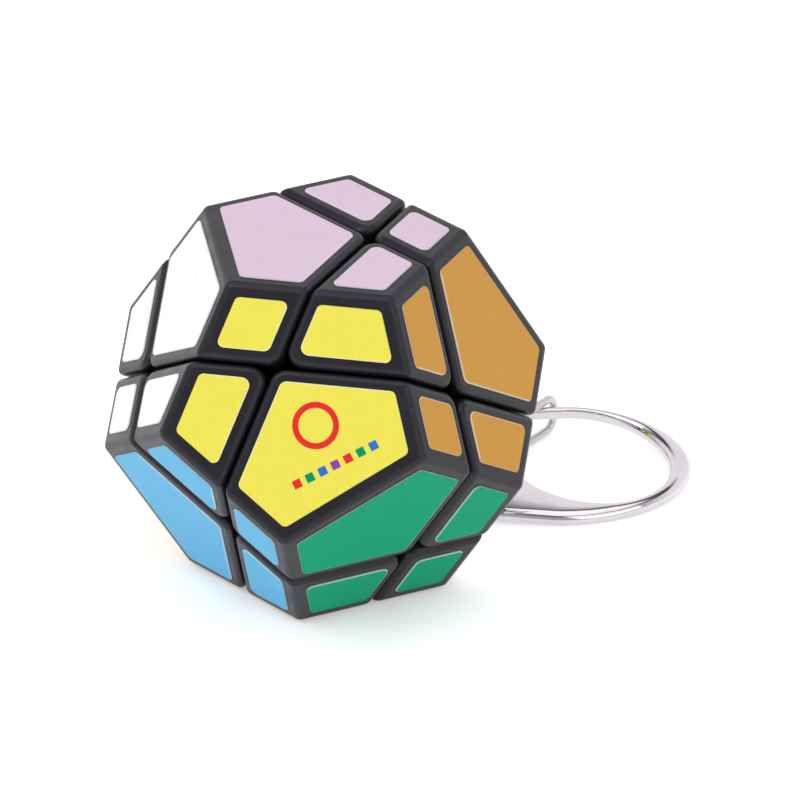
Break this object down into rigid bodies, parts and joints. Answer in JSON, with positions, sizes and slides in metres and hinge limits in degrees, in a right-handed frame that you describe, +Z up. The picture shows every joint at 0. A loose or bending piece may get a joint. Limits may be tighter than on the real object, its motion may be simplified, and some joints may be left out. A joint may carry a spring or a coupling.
{
  "type": "dodecahedron twisty puzzle",
  "caption": "Hand-sized dodecahedron puzzle whose halves turn on each other, with coloured stickers on black shells and a key ring on a short chain.",
  "frame": {"origin": "centre of the face the puzzle stands on, on the outside of its sticker", "axes": "+Z up, -Y towards the face with the large yellow pentagon, +X to its right"},
  "size_m": [0.0548, 0.0515, 0.0363],
  "materials": {
    "shell_plastic": "black moulded plastic with a satin sheen",
    "foot_plastic": "black moulded plastic",
    "core_plastic": "white moulded plastic",
    "screw_steel": "zinc plated",
    "spring_steel": "plain spring wire",
    "sticker_yellow": "smooth vinyl film",
    "sticker_green": "smooth vinyl film",
    "sticker_white": "smooth vinyl film",
    "sticker_lilac": "smooth vinyl film",
    "sticker_blue": "smooth vinyl film",
    "sticker_gold": "vinyl film with fine metallic grain",
    "chrome_chain": "bright nickel plate",
    "chrome_ring": "polished chrome"
  },
  "bodies": {
    "base_half": {"core": "core_plastic", "screws": "screw_steel", "washers": "screw_steel", "springs": "spring_steel", "corner_shell_1": "shell_plastic", "corner_shell_5": "shell_plastic", "corner_shell_6": "shell_plastic", "corner_shell_7": "shell_plastic", "edge_shell_4": "shell_plastic", "edge_shell_5": "shell_plastic", "edge_shell_6": "shell_plastic", "corner_foot_1": "foot_plastic", "corner_foot_5": "foot_plastic", "corner_foot_6": "foot_plastic", "corner_foot_7": "foot_plastic", "edge_foot_4": "foot_plastic", "edge_foot_5": "foot_plastic", "edge_foot_6": "foot_plastic", "stickers_yellow_base": "sticker_yellow", "stickers_green_base": "sticker_green", "stickers_white_base": "sticker_white", "stickers_lilac_base": "sticker_lilac", "stickers_blue_base": "sticker_blue", "stickers_gold_base": "sticker_gold", "screw_eye": "chrome_chain"},
    "top_half": {"corner_shell_2": "shell_plastic", "corner_shell_3": "shell_plastic", "corner_shell_4": "shell_plastic", "corner_shell_8": "shell_plastic", "edge_shell_1": "shell_plastic", "edge_shell_2": "shell_plastic", "edge_shell_3": "shell_plastic", "corner_foot_2": "foot_plastic", "corner_foot_3": "foot_plastic", "corner_foot_4": "foot_plastic", "corner_foot_8": "foot_plastic", "edge_foot_1": "foot_plastic", "edge_foot_2": "foot_plastic", "edge_foot_3": "foot_plastic", "stickers_yellow_top": "sticker_yellow", "stickers_green_top": "sticker_green", "stickers_white_top": "sticker_white", "stickers_lilac_top": "sticker_lilac", "stickers_blue_top": "sticker_blue", "stickers_gold_top": "sticker_gold"},
    "link_1": {"chain_link_1": "chrome_chain"},
    "link_2": {"chain_link_2": "chrome_chain"},
    "link_3": {"chain_link_3": "chrome_chain"},
    "key_ring": {"key_ring": "chrome_ring"}
  },
  "joints": [
    {"name": "half_turn", "type": "hinge", "parent": "base_half", "child": "top_half", "pos_m": [0, 0, 0.01805], "axis": [0, 0.6071, 0.7947], "continuous": true},
    {"name": "link_1_swing", "type": "hinge", "parent": "base_half", "child": "link_1", "pos_m": [0.00772, 0.01909, 0.00228], "axis": [0.6152, -0.7052, 0.3526], "range_deg": [-28, 10]},
    {"name": "link_2_swing", "type": "hinge", "parent": "link_1", "child": "link_2", "pos_m": [0.01149, 0.02238, 0.00142], "axis": [0, 0, 1], "range_deg": [-12, 12]},
    {"name": "link_3_swing", "type": "hinge", "parent": "link_2", "child": "link_3", "pos_m": [0.01599, 0.02455, 0.00142], "axis": [0.4337, -0.9011, 0], "range_deg": [-45, 0]},
    {"name": "ring_flip", "type": "hinge", "parent": "link_3", "child": "key_ring", "pos_m": [0.01835, 0.02782, 0.00287], "axis": [-0.9771, -0.2089, 0.0394], "range_deg": [0, 22]}
  ]
}
